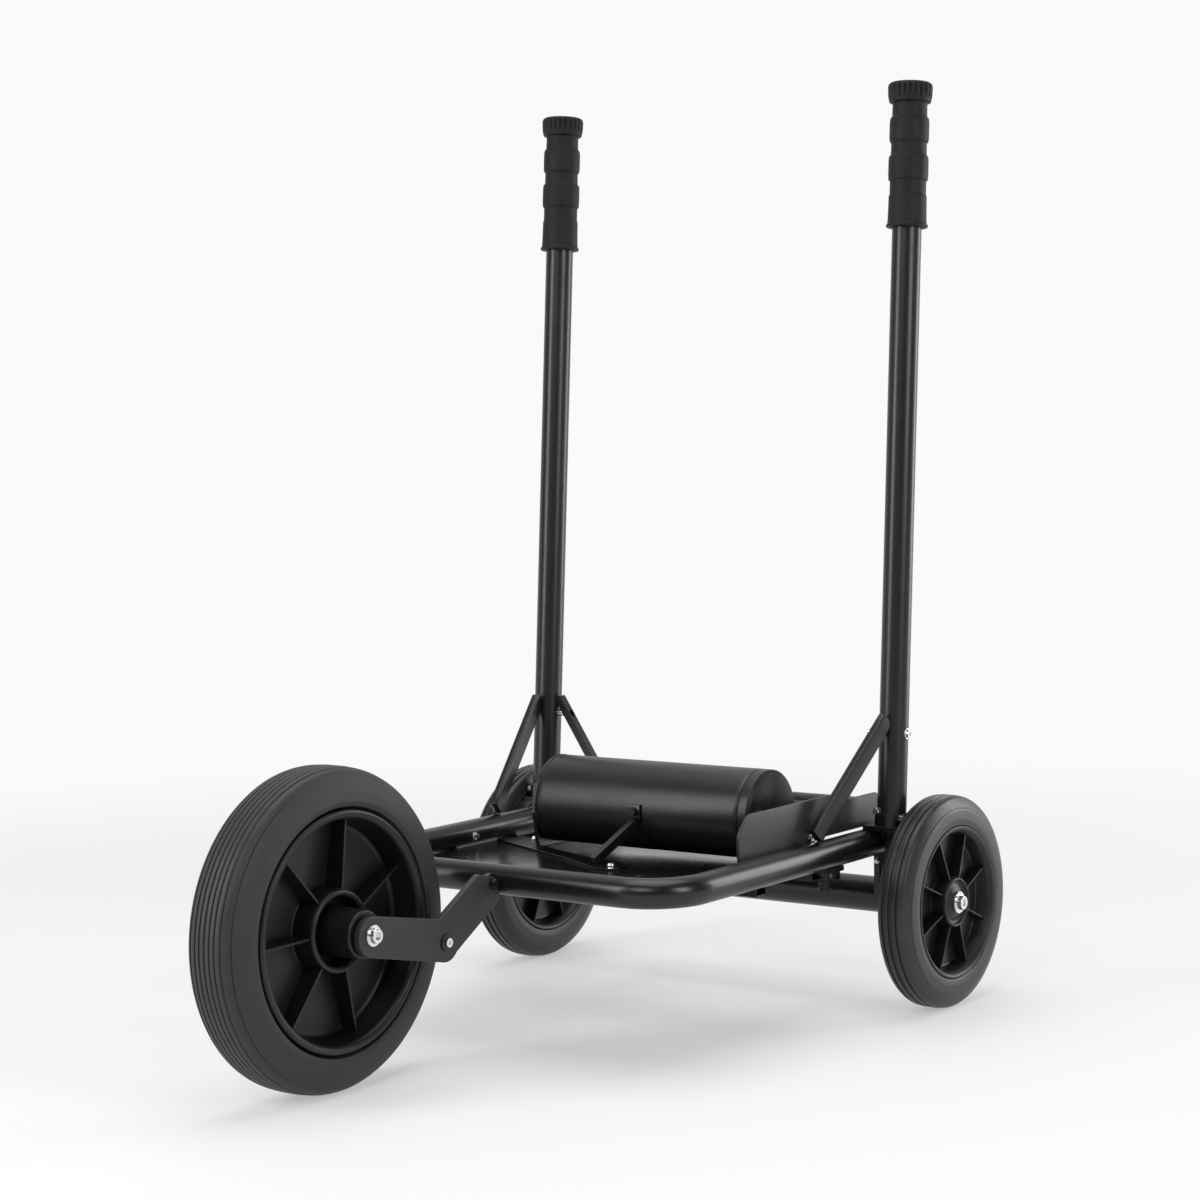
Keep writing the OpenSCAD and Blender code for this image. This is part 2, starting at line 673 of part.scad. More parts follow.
module rear_tyre(side) color([0.045, 0.045, 0.047]) {
  s = rear_seat + 0.05;
  half = [[s, 20.6], [s + 1.4, 21.8], [s + 8, 22.4], [s + 18, 22], [s + 20.6, 21.6], [s + 21, 20.8],
          [s + 21.8, 21], [s + 28, 18.6], [rear_r - 3.4, 16.4], [rear_r - 1.4, 13.6],
          [rear_r - 0.4, 10.6], [rear_r - 2.8, 9.8], [rear_r - 2.8, 7.8], [rear_r, 7],
          [rear_r, 2.6], [rear_r - 2.6, 1.8], [rear_r - 2.6, 1.2]];
  n = len(half);
  turned_x(side * rear_x, rear_y, rear_z)
    polygon(concat(half, [for (k = [n - 1:-1:0]) [half[k][0], -half[k][1]]]));
}

module rear_tyre_left() rear_tyre(-1);
module rear_tyre_right() rear_tyre(1);

module rear_rim(side) color([0.035, 0.035, 0.037]) {
  translate([side * rear_x, rear_y, rear_z]) rotate([0, 90, 0]) {
    rotate_extrude() polygon([
      [rear_seat, -20.4], [rear_seat - 0.3, -21.8], [rear_seat - 2, -22.3], [rear_seat - 4.6, -21.2],
      [rear_seat - 7.8, -16.6], [rear_seat - 10, -9.6], [rear_seat - 12.4, -3], [rear_seat - 14, -2.2],
      [31, -2.2], [29.4, -19], [27.6, -21], [25.4, -20], [24.4, -14], [15, -17], [14, -20],
      [axle_r + 0.05, -20], [axle_r + 0.05, 20], [14, 20], [15, 17], [24.4, 14], [25.4, 20],
      [27.6, 21], [29.4, 19], [31, 2.2], [rear_seat - 14, 2.2], [rear_seat - 12.4, 3],
      [rear_seat - 10, 9.6], [rear_seat - 7.8, 16.6], [rear_seat - 4.6, 21.2], [rear_seat - 2, 22.3],
      [rear_seat - 0.3, 21.8], [rear_seat, 20.4]
    ]);
    for (k = [0:rear_ribs - 1]) rotate([0, 0, 157 + k * 360 / rear_ribs])
      translate([0, 1.2, 0]) rotate([90, 0, 0]) linear_extrude(2.4)
        polygon([[29, -17], [rear_seat - 8.2, -15], [rear_seat - 12, 0], [rear_seat - 8.2, 15], [29, 17]]);
  }
}

module rear_rim_left() rear_rim(-1);
module rear_rim_right() rear_rim(1);

module rear_axle() color([0.6, 0.6, 0.62])
  rod_x(-rear_x - 20, rear_x + 20, rear_y, rear_z, axle_r);

module rear_hub_bolts() color([0.75, 0.75, 0.76]) {
  for (side = [-1, 1]) mirrored(side) {
    rod_x(rear_x + 20.05, rear_x + 24, rear_y, rear_z, 13);
    along_x(rear_x + 24, 0, rear_y, rear_z) difference() {
      cylinder(r1 = 9, r2 = 8, h = 6);
      translate([0, 0, 2.6]) hex_head(4.4, 6);
    }
  }
}

// rings between the turning axle and the fixed housing
module axle_bearings() color([0.6, 0.6, 0.62]) {
  for (x = [[-268, -256], [-200, -188], [-132, -120], [256, 268]])
    pipe_x(x[0], x[1], rear_y, rear_z, 19.45, axle_r + 0.05);
}

module pulley(x, y, z, r, bore) {
  turned_x(x, y, z) polygon([
    [bore, -6], [r + 3.6, -6], [r + 3.6, -5], [r, -4.4], [r, 4.4], [r + 3.6, 5], [r + 3.6, 6],
    [bore, 6]
  ]);
}

module axle_pulley() color([0.5, 0.5, 0.52])
  difference() {
    pulley(belt_x, rear_y, rear_z, large_pulley, axle_r + 0.02);
    for (k = [0:5]) rotate_about(k * 60) rod_x(belt_x - 8, belt_x + 8, rear_y + 26, rear_z, 8);
  }

module rotate_about(a) {
  translate([0, rear_y, rear_z]) rotate([a, 0, 0]) translate([0, -rear_y, -rear_z]) children();
}

module rotor_pulley() color([0.5, 0.5, 0.52]) {
  pulley(belt_x, drum_y, drum_z, small_pulley, 8.02);
}

// drag rotor and its shaft, turned by the belt inside the fixed drum
module brake_rotor() color([0.55, 0.4, 0.28]) {
  rod_x(belt_x - 8, drum_right - 5.4, drum_y, drum_z, 8);
  rod_x(-90, 130, drum_y, drum_z, 42);
}

module rotor_bearings() color([0.6, 0.6, 0.62]) {
  pipe_x(drum_left, drum_left + 14, drum_y, drum_z, 16, 8.05);
  pipe_x(drum_right - 17, drum_right - 5.1, drum_y, drum_z, 16, 8.05);
}

module belt_outline(grow) {
  hull() {
    translate([drum_y, drum_z]) circle(r = small_pulley + grow, $fn = 64);
    translate([rear_y, rear_z]) circle(r = large_pulley + grow, $fn = 96);
  }
}

module drive_belt() color([0.03, 0.03, 0.03])
  translate([belt_x - 4, 0, 0]) rotate([90, 0, 90]) linear_extrude(8)
    difference() {
      belt_outline(2.8);
      belt_outline(0.12);
    }

// ---- choose what to build ----

main_frame_tube();
rail_plug_left();
rail_plug_right();
front_cross_bar();
rear_cross_bar();
rear_cross_tube();
axle_housing_left();
axle_housing_right();
axle_bracket_left();
axle_bracket_right();
pole_foot_left();
pole_foot_right();
push_pole_left();
push_pole_right();
grip_left();
grip_right();
grip_cap_left();
grip_cap_right();
forward_brace_left();
forward_brace_right();
inward_brace();
pole_bolts();
foot_bolts();
deck_plate();
deck_strap();
deck_bolts();
drum_strut();
strut_clamp();
side_plate();
side_plate_bolt();
drum_shell();
drum_cap_left();
drum_cap_right();
drive_plate();
drum_hanger();
rail_gland();
arm_lug();
front_arm();
top_arm_bolt();
knee_washer();
knee_bolt();
front_axle();
front_tyre();
front_rim();
front_bearings();
rear_axle();
rear_tyre_left();
rear_tyre_right();
rear_rim_left();
rear_rim_right();
rear_hub_bolts();
axle_bearings();
axle_pulley();
brake_rotor();
rotor_bearings();
rotor_pulley();
drive_belt();
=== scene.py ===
import math

import bmesh
import bpy
import numpy as np
from mathutils import Matrix, Vector


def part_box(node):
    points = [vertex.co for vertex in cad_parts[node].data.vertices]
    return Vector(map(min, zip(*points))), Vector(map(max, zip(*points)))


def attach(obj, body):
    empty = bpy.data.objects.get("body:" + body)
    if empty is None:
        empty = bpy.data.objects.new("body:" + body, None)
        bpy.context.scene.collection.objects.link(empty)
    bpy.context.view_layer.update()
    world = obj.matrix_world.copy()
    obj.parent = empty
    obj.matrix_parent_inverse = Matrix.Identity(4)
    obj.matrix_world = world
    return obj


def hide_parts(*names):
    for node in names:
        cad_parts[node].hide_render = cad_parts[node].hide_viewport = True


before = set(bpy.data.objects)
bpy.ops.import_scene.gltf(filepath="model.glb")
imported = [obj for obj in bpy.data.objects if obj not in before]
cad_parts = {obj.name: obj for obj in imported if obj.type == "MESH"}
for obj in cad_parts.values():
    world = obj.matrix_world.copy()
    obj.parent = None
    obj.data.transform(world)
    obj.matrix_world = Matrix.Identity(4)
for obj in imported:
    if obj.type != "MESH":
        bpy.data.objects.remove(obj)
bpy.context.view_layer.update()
mm = 0.001
print("frame loaded")


# camera: placed by its bearing, its dip and its roll about the line of sight
cameraSettings = {"place": (1.8656, -2.4293, 0.7170), "bearing": 36.32, "dip": 3.97, "roll": -1.22,
                  "lens": 80.66, "sensor": 36, "farthest": 60}


def makeCamera(settings):
    a, e, r = (math.radians(settings[k]) for k in ("bearing", "dip", "roll"))
    ahead = Vector((-math.sin(a) * math.cos(e), math.cos(a) * math.cos(e), -math.sin(e)))
    right = Vector((math.cos(a), math.sin(a), 0))
    up = right.cross(ahead)
    camX = right * math.cos(r) + up * math.sin(r)
    camY = -right * math.sin(r) + up * math.cos(r)
    data = bpy.data.cameras.new("camera")
    data.lens = settings["lens"]
    data.sensor_width = settings["sensor"]
    data.clip_end = settings["farthest"]
    camera = bpy.data.objects.new("camera", data)
    turn = Matrix((camX, camY, -ahead)).transposed()
    camera.matrix_world = Matrix.Translation(settings["place"]) @ turn.to_4x4()
    bpy.context.collection.objects.link(camera)
    bpy.context.scene.camera = camera


makeCamera(cameraSettings)


# a number flowing between shader nodes, so that sums are written as plain Python
class Flow:
    def __init__(self, finish, socket):
        self.finish, self.socket = finish, socket

    def maths(self, operation, first, second=0.0):
        made = self.finish.node("ShaderNodeMath", {"operation": operation}, {0: first, 1: second})
        return Flow(self.finish, made.outputs[0])

    def __add__(self, other):
        return self.maths("ADD", self, other)

    def __radd__(self, other):
        return self.maths("ADD", other, self)

    def __sub__(self, other):
        return self.maths("SUBTRACT", self, other)

    def __mul__(self, other):
        return self.maths("MULTIPLY", self, other)

    def __pow__(self, other):
        return self.maths("POWER", self, other)

    # 0 below low, 1 above high, and a smooth step between
    def between(self, low, high):
        sockets = {"Value": self, "From Min": low, "From Max": high}
        made = self.finish.node("ShaderNodeMapRange", {"interpolation_type": "SMOOTHSTEP"}, sockets)
        return Flow(self.finish, made.outputs[0])


# one material, built node by node
class Finish:
    def __init__(self, name):
        self.material = bpy.data.materials.new(name)
        self.material.use_nodes = True
        self.tree = self.material.node_tree
        self.tree.nodes.clear()
        self.place = self.node("ShaderNodeTexCoord").outputs["Object"]

    def node(self, kind, settings=None, sockets=None):
        made = self.tree.nodes.new(kind)
        for key, value in (settings or {}).items():
            setattr(made, key, value)
        for key, value in (sockets or {}).items():
            value = value.socket if isinstance(value, Flow) else value
            if isinstance(value, bpy.types.NodeSocket):
                self.tree.links.new(value, made.inputs[key])
            else:
                made.inputs[key].default_value = value
        return made

    # smooth noise with cells of the given size in metres, stretched along the axes if asked
    def grain(self, size, detail=2.0, rough=0.5, stretch=(1, 1, 1)):
        spread = tuple(1 / (size * s) for s in stretch)
        spot = self.node("ShaderNodeMapping", None, {"Vector": self.place, "Scale": spread}).outputs[0]
        sockets = {"Vector": spot, "Scale": 1.0, "Detail": detail, "Roughness": rough}
        return Flow(self, self.node("ShaderNodeTexNoise", None, sockets).outputs[0])

    # distance from a line along X through the given y and z
    def fromAxle(self, y, z):
        parts = self.node("ShaderNodeSeparateXYZ", None, {0: self.place})
        across = Flow(self, parts.outputs[1]) - y
        high = Flow(self, parts.outputs[2]) - z
        return (across * across + high * high) ** 0.5

    def blend(self, amount, low, high):
        low = tuple(low) + (1,) if isinstance(low, tuple) else low
        high = tuple(high) + (1,) if isinstance(high, tuple) else high
        made = self.node("ShaderNodeMix", {"data_type": "RGBA"}, {0: amount, 6: low, 7: high})
        return made.outputs[2]

    def relief(self, height, depth, strength=1.0):
        sockets = {"Height": height, "Distance": depth, "Strength": strength}
        return self.node("ShaderNodeBump", None, sockets).outputs[0]

    def surface(self, sockets):
        shader = self.node("ShaderNodeBsdfPrincipled", None, sockets)
        self.node("ShaderNodeOutputMaterial", None, {"Surface": shader.outputs[0]})
        return self.material


# powder coat: fine orange peel, slow changes of sheen and a few dull handling marks
def powderCoat(name, look):
    f = Finish(name)
    peel = f.grain(look["peel"], 3.0, 0.55)
    cloud = f.grain(0.09, 3.0, 0.6)
    marks = f.grain(0.012, 4.0, 0.65, look.get("stretch", (1, 1, 1))).between(0.60, 0.78)
    specks = f.grain(0.0022, 1.0, 0.5).between(0.70, 0.80)
    colour = f.blend(cloud, look["dark"], look["light"])
    colour = f.blend(marks * 0.35 + specks * 0.25, colour, look["mark"])
    rough = look["rough"] + (cloud - 0.5) * 0.12 + marks * look["scuff"] + specks * 0.10
    sockets = {"Base Color": colour, "Roughness": rough, "Normal": f.relief(peel, look["depth"], 0.7)}
    sockets["Specular IOR Level"] = look.get("gloss", 0.5)
    return f.surface(sockets)


# rubber: soft bloom in slow clouds, a fine moulded stipple and pale dust in the low spots
def rubber(name, look, axle=None):
    f = Finish(name)
    stipple = f.grain(look["stipple"], 2.0, 0.6)
    cloud = f.grain(0.05, 4.0, 0.6)
    dust = f.grain(0.018, 5.0, 0.7).between(0.50, 0.80)
    worn = dust * 0.35
    if axle:
        tread = f.fromAxle(axle[0], axle[1]).between(axle[2] - 0.012, axle[2] - 0.001)
        worn = worn + tread * (0.25 + dust * 0.45)
    colour = f.blend(worn, f.blend(cloud, look["dark"], look["light"]), look["dust"])
    rough = look["rough"] + (cloud - 0.5) * 0.14 + dust * 0.08
    sockets = {"Base Color": colour, "Roughness": rough, "Normal": f.relief(stipple, look["depth"], 0.8)}
    sockets["Specular IOR Level"] = look.get("gloss", 0.4)
    return f.surface(sockets)


# moulded plastic: even colour, spark-eroded grain and faint flow marks
def mouldedPlastic(name, look):
    f = Finish(name)
    grain = f.grain(0.0006, 2.0, 0.6)
    flow = f.grain(0.06, 3.0, 0.5, (1, 1, 2.5))
    rubbed = f.grain(0.010, 4.0, 0.65).between(0.60, 0.80)
    colour = f.blend(flow, look["dark"], look["light"])
    colour = f.blend(rubbed * 0.25, colour, look["mark"])
    rough = look["rough"] + (flow - 0.5) * 0.14 + rubbed * 0.10
    sockets = {"Base Color": colour, "Roughness": rough, "Normal": f.relief(grain, 0.00004, 0.6)}
    sockets["Specular IOR Level"] = look.get("gloss", 0.45)
    return f.surface(sockets)


# bare or plated metal: fine lines across one axis, with tarnish in slow clouds
def bareMetal(name, look):
    f = Finish(name)
    lines = f.grain(0.0008, 3.0, 0.6, look["stretch"])
    cloud = f.grain(0.015, 4.0, 0.6)
    tarnish = cloud.between(0.52, 0.78)
    colour = f.blend(tarnish * look["age"], look["bright"], look["dull"])
    rough = look["rough"] + (lines - 0.5) * 0.16 + tarnish * 0.14
    sockets = {"Base Color": colour, "Roughness": rough, "Normal": f.relief(lines, 0.00003, 0.6)}
    sockets["Metallic"] = 1.0
    return f.surface(sockets)


frameLook = {"dark": (0.0030, 0.0030, 0.0034), "light": (0.0055, 0.0055, 0.006),
             "mark": (0.014, 0.014, 0.015), "rough": 0.31, "scuff": 0.12, "peel": 0.0014, "depth": 0.00007}
poleLook = dict(frameLook, stretch=(1, 1, 5), rough=0.32)
drumLook = dict(frameLook, rough=0.38, peel=0.0011, depth=0.00005)
deckLook = dict(frameLook, rough=0.20, scuff=0.20, peel=0.0030, depth=0.00006, gloss=0.6)
# the side plate's copy of the frame coat is painted lighter: painted light standing in for the lamp on its
# face
plateLitLook = dict(frameLook, rough=0.45, peel=0.0009, dark=(0.020, 0.020, 0.0205),
                 light=(0.028, 0.028, 0.0285), mark=(0.030, 0.030, 0.031))
armLook = dict(frameLook, rough=0.50, peel=0.0008, depth=0.00009, dark=(0.019, 0.019, 0.019),
               light=(0.027, 0.027, 0.027), mark=(0.038, 0.038, 0.038))
tyreLook = {"dark": (0.011, 0.011, 0.011), "light": (0.018, 0.018, 0.0176), "dust": (0.040, 0.039, 0.037),
            "rough": 0.54, "stipple": 0.0009, "depth": 0.00008, "gloss": 0.5}
rearTyreLook = dict(tyreLook, rough=0.38, dark=(0.0075, 0.0075, 0.0075), light=(0.012, 0.012, 0.0118),
                    dust=(0.030, 0.029, 0.028))
gripLook = {"dark": (0.0028, 0.0028, 0.003), "light": (0.0045, 0.0045, 0.0045),
            "dust": (0.010, 0.010, 0.0097), "rough": 0.60, "stipple": 0.0010, "depth": 0.00010, "gloss": 0.3}
beltLook = dict(gripLook, rough=0.70)
rimLook = {"dark": (0.0022, 0.0022, 0.0022), "light": (0.0040, 0.0040, 0.0040), "mark": (0.010, 0.010, 0.010),
           "rough": 0.42}
plugLook = dict(rimLook, rough=0.48)
zincLook = {"bright": (0.78, 0.78, 0.79), "dull": (0.50, 0.50, 0.50), "rough": 0.22, "age": 0.5,
            "stretch": (6, 1, 1)}
steelLook = dict(zincLook, bright=(0.60, 0.60, 0.61), rough=0.30)
aluminiumLook = dict(zincLook, bright=(0.72, 0.72, 0.73), rough=0.34, stretch=(1, 8, 8))
copperLook = {"bright": (0.72, 0.42, 0.30), "dull": (0.36, 0.20, 0.14), "rough": 0.38, "age": 0.8,
              "stretch": (1, 8, 8)}


def middle(node):
    low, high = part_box(node)
    return (np.array(low) + np.array(high)) / 2


noseCentre = middle("front_tyre")
rearCentre = {"left": middle("rear_tyre_left"), "right": middle("rear_tyre_right")}

frameCoat = powderCoat("frameCoat", frameLook)
poleCoat = powderCoat("poleCoat", poleLook)
drumCoat = powderCoat("drumCoat", drumLook)
deckCoat = powderCoat("deckCoat", deckLook)
armCoat = powderCoat("armCoat", armLook)
plateLitCoat = powderCoat("plateLitCoat", plateLitLook)
noseRubber = rubber("noseRubber", tyreLook, (noseCentre[1], noseCentre[2], 0.175))
rearRubber = rubber("rearRubber", rearTyreLook, (rearCentre["left"][1], rearCentre["left"][2], 0.127))
gripRubber = rubber("gripRubber", gripLook)
beltRubber = rubber("beltRubber", beltLook)
rimPlastic = mouldedPlastic("rimPlastic", rimLook)
plugPlastic = mouldedPlastic("plugPlastic", plugLook)
zinc = bareMetal("zinc", zincLook)
brightSteel = bareMetal("brightSteel", steelLook)
turnedAluminium = bareMetal("turnedAluminium", aluminiumLook)
rotorCopper = bareMetal("rotorCopper", copperLook)
print("finishes made")


# four corners of each cell of a grid of rows by columns, joined round where asked
def gridFaces(rows, columns, roundRows, roundColumns):
    i = np.arange(rows if roundRows else rows - 1)[:, None]
    j = np.arange(columns if roundColumns else columns - 1)[None, :]
    nextI, nextJ = (i + 1) % rows, (j + 1) % columns
    cells = [i * columns + j, nextI * columns + j, nextI * columns + nextJ, i * columns + nextJ]
    return np.stack(np.broadcast_arrays(*cells), -1).reshape(-1, 4)


# each corner of an outline becomes a curve that starts and ends the given distance from it
def soften(points, reach, steps=4, closed=True):
    p = np.array(points, float)
    back, ahead = np.roll(p, 1, 0) - p, np.roll(p, -1, 0) - p
    backLength = np.linalg.norm(back, axis=1, keepdims=True) + 1e-9
    aheadLength = np.linalg.norm(ahead, axis=1, keepdims=True) + 1e-9
    cut = np.minimum(reach, 0.45 * np.minimum(backLength, aheadLength))
    start, end = p + back / backLength * cut, p + ahead / aheadLength * cut
    t = np.linspace(0, 1, steps)[None, :, None]
    curve = (1 - t) ** 2 * start[:, None] + 2 * t * (1 - t) * p[:, None] + t**2 * end[:, None]
    if closed:
        return curve.reshape(-1, 2)
    return np.concatenate([p[:1], curve[1:-1].reshape(-1, 2), p[-1:]])


def unit(v):
    v = np.array(v, float)
    return v / np.linalg.norm(v)


# a point goes to origin + axis * s + r * (first * cos a + second * sin a), for each (r, s) of a profile
def turned(profile, origin, axis=(1, 0, 0), segments=96, form=None, ring=False):
    p = np.array(profile, float) * mm
    axis = unit(axis)
    first = unit(np.cross((0, 0, 1), axis)) if abs(axis[2]) < 0.9 else unit(np.cross((1, 0, 0), axis))
    second = np.cross(axis, first)
    a = np.linspace(0, 2 * np.pi, segments, endpoint=False)
    r = p[:, :1] * (np.ones((1, segments)) if form is None else form)
    away = first * np.cos(a)[:, None] + second * np.sin(a)[:, None]
    verts = np.array(origin) + axis * p[:, 1, None, None] + r[..., None] * away
    return verts.reshape(-1, 3), gridFaces(len(p), segments, ring, True)


# a section of (side, up) points carried along a path, shrunk at both ends to close it
def swept(path, section, up=(0, 0, 1), endRound=0.8):
    path, section = np.array(path, float) * mm, np.array(section, float) * mm
    tangent = np.gradient(path, axis=0)
    tangent /= np.linalg.norm(tangent, axis=1, keepdims=True)
    e = endRound * mm
    reach = np.abs(section).max()
    steps = [(0, 0), (0, 1 - e / reach), (0.3 * e, 1 - 0.3 * e / reach), (e, 1)]
    first = [(path[0] + tangent[0] * d, k, tangent[0]) for d, k in steps]
    last = [(path[-1] - tangent[-1] * d, k, tangent[-1]) for d, k in steps[::-1]]
    spots = np.concatenate([[s[0] for s in first], path[1:-1], [s[0] for s in last]])
    sizes = np.concatenate([[s[1] for s in first], np.ones(len(path) - 2), [s[1] for s in last]])
    heading = np.concatenate([[s[2] for s in first], tangent[1:-1], [s[2] for s in last]])
    side = np.cross(heading, np.array(up, float))
    side /= np.linalg.norm(side, axis=1, keepdims=True)
    rise = np.cross(side, heading)
    flat = section[None] * sizes[:, None, None]
    verts = spots[:, None] + side[:, None] * flat[..., :1] + rise[:, None] * flat[..., 1:]
    return verts.reshape(-1, 3), gridFaces(len(spots), len(section), False, True)


def circle(radius, count=48):
    a = np.linspace(0, 2 * np.pi, count, endpoint=False)
    return radius * np.stack([np.cos(a), np.sin(a)], -1)


def tubeSection(width, height, corner):
    w, h = width / 2, height / 2
    return soften([(-w, -h), (w, -h), (w, h), (-w, h)], corner, 5)


# a flat outline given thickness: its rim is a quarter round, its two faces are flat
def slab(outline, low, high, edge, order):
    o = np.array(outline, float)
    area = np.sum(o[:, 0] * np.roll(o[:, 1], -1) - np.roll(o[:, 0], -1) * o[:, 1])
    o = o if area > 0 else o[::-1]
    ahead = np.roll(o, -1, 0) - np.roll(o, 1, 0)
    inward = np.stack([-ahead[:, 1], ahead[:, 0]], -1)
    inward /= np.linalg.norm(inward, axis=1, keepdims=True) + 1e-9
    a = np.linspace(0, np.pi / 2, 4)
    inset = np.concatenate([edge * (1 - np.sin(a)), edge * (1 - np.sin(a[::-1]))])
    level = np.concatenate([low + edge * (1 - np.cos(a)), high - edge * (1 - np.cos(a[::-1]))])
    flat = o[None] + inward[None] * inset[:, None, None]
    third = np.broadcast_to(level[:, None, None], flat.shape[:2] + (1,))
    verts = np.concatenate([flat, third], -1)[..., order].reshape(-1, 3) * mm
    count, rows = len(o), len(level)
    faces = [list(f) for f in gridFaces(rows, count, False, True)]
    faces.append(list(range(count)))
    faces.append(list(range((rows - 1) * count, rows * count)))
    return verts, faces


ontoX = [2, 0, 1]  # outline in (y, z), thickness along x
ontoZ = [0, 1, 2]  # outline in (x, y), thickness along z


# joins closed shapes into one mesh, closes its seams and turns its faces outwards
def makePiece(name, shapes, body, nodes, finish, smoothTo=38, bevel=0):
    verts, faces, start = [], [], 0
    for shapeVerts, shapeFaces in shapes:
        verts.append(np.array(shapeVerts))
        faces += [[int(k) + start for k in f] for f in shapeFaces]
        start += len(shapeVerts)
    mesh = bpy.data.meshes.new(name)
    mesh.from_pydata(np.concatenate(verts).tolist(), [], faces)
    return finishPiece(name, mesh, body, nodes, finish, smoothTo, bevel, True)


def finishPiece(name, mesh, body, nodes, finish, smoothTo, bevel, turn):
    work = bmesh.new()
    work.from_mesh(mesh)
    bmesh.ops.remove_doubles(work, verts=work.verts, dist=2e-6)
    if turn:
        bmesh.ops.recalc_face_normals(work, faces=work.faces)
    else:
        bmesh.ops.dissolve_limit(work, angle_limit=0.01, verts=work.verts, edges=work.edges)
    work.to_mesh(mesh)
    work.free()
    mesh.shade_smooth()
    mesh.set_sharp_from_angle(angle=math.radians(smoothTo))
    piece = bpy.data.objects.new(name, mesh)
    bpy.context.collection.objects.link(piece)
    mesh.materials.append(finish)
    if bevel:
        rounding = piece.modifiers.new("rounding", "BEVEL")
        rounding.width = bevel * mm
        rounding.segments = 2
        rounding.limit_method = "ANGLE"
        rounding.angle_limit = math.radians(smoothTo)
        rounding.harden_normals = True
    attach(piece, body)
    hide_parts(*nodes)
    return piece


# a copy of a CAD node with its loose triangles merged and its edges rounded
def roundedCopy(name, node, body, finish, bevel=0.5):
    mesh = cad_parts[node].data.copy()
    mesh.materials.clear()
    return finishPiece(name, mesh, body, [node], finish, 32, bevel, False)


def recoat(node, finish):
    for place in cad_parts[node].material_slots:
        place.material = finish


sides = {"left": -1, "right": 1}

# bent frame tube, one line of stations from the left rear end round to the right
tubeSettings = {"railX": 234, "frontY": -96, "endY": 366, "high": 199, "radius": 17, "bend": 62}


def framePath(s):
    a = np.linspace(0, np.pi / 2, 20)
    inner, turnY = s["railX"] - s["bend"], s["frontY"] + s["bend"]
    left = np.stack([np.full(30, -s["railX"]), np.linspace(s["endY"], turnY, 30, endpoint=False)], -1)
    cornerA = np.stack([-inner - s["bend"] * np.cos(a), turnY - s["bend"] * np.sin(a)], -1)
    front = np.stack([np.linspace(-inner, inner, 32)[1:-1], np.full(30, s["frontY"])], -1)
    flat = np.concatenate([left, cornerA, front, cornerA[::-1] * (-1, 1), left[::-1] * (-1, 1)])
    return np.concatenate([flat, np.full((len(flat), 1), s["high"])], -1)


makePiece("frameTube", [swept(framePath(tubeSettings), circle(tubeSettings["radius"], 56))], "chassis",
          ["main_frame_tube"], frameCoat)

# plugs in the rear ends of the rails, slightly domed
plugSettings = {"radius": 17, "dome": 4, "inside": 12}
for sideName, side in sides.items():
    r = plugSettings["radius"]
    a = np.linspace(0, np.pi / 2, 8)
    dome = np.stack([r * np.cos(a), plugSettings["dome"] * np.sin(a)], -1)
    deep = -plugSettings["inside"]
    profile = [(0, deep), (r - 2.2, deep), (r - 2.2, -0.1), (r, 0)] + dome.tolist()
    origin = np.array([side * tubeSettings["railX"], tubeSettings["endY"], tubeSettings["high"]]) * mm
    makePiece("railPlug_" + sideName, [turned(profile, origin, (0, 1, 0))], "chassis",
              ["rail_plug_" + sideName], plugPlastic)
print("frame made")

# push poles, leaning back from the rails
poleSettings = {"x": 259, "y": 331, "z": 199, "lean": 4.5, "radius": 17.5, "low": 24,
                "top": 1101, "capGap": 26}
lean = math.radians(poleSettings["lean"])
poleAxis = np.array([0, math.sin(lean), math.cos(lean)])
poleTop = (poleSettings["top"] - poleSettings["z"]) / math.cos(lean)


def poleSpot(side, height):
    foot = np.array([side * poleSettings["x"], poleSettings["y"], poleSettings["z"]], float)
    return (foot + poleAxis * height) * mm


for sideName, side in sides.items():
    r, low, high = poleSettings["radius"], poleSettings["low"], poleTop - poleSettings["capGap"]
    stations = np.linspace(low + 1, high - 1, 40)
    wall = [(r, h) for h in stations]
    profile = [(0, low), (r - 0.8, low)] + wall + [(r - 0.8, high), (0, high)]
    makePiece("pushPole_" + sideName, [turned(profile, poleSpot(side, 0), poleAxis, 64)], "chassis",
              ["push_pole_" + sideName], poleCoat)

# rubber grips in stepped bands: rows are (radius, height)
gripSettings = {"length": 148, "capHeight": 24, "flutes": 24, "fluteDepth": 0.075}
gripRows = [(17.6, 0), (24.2, 0), (24.8, 1), (24.8, 3), (23.6, 4.4), (23.2, 6), (22.8, 20), (22.6, 37),
            (21.9, 38.4), (21.6, 40), (21.6, 54.4), (22.4, 55.6), (23.4, 56.6), (23.8, 62), (23.8, 79),
            (23.4, 84), (22.2, 85.2), (21.3, 86.6), (21.1, 99.6), (22, 101), (23, 102.2), (23.5, 107),
            (23.5, 124), (23, 129), (21.8, 130.6), (20.8, 132), (20.6, 145.6), (21, 148), (17.6, 148)]
capRows = [(0, 0), (23.2, 0), (24.6, 0.8), (25.2, 2.4), (25.2, 4), (25.7, 5), (26.2, 9), (26.5, 15),
           (26.5, 19.6), (25.6, 22), (23.6, 23.6), (21, 24), (19, 23.2), (17.5, 23), (0, 23)]
fluted = [0, 0, 0, 0, 0, 0.5, 1, 1, 1, 0.8, 0.3, 0, 0, 0, 0]

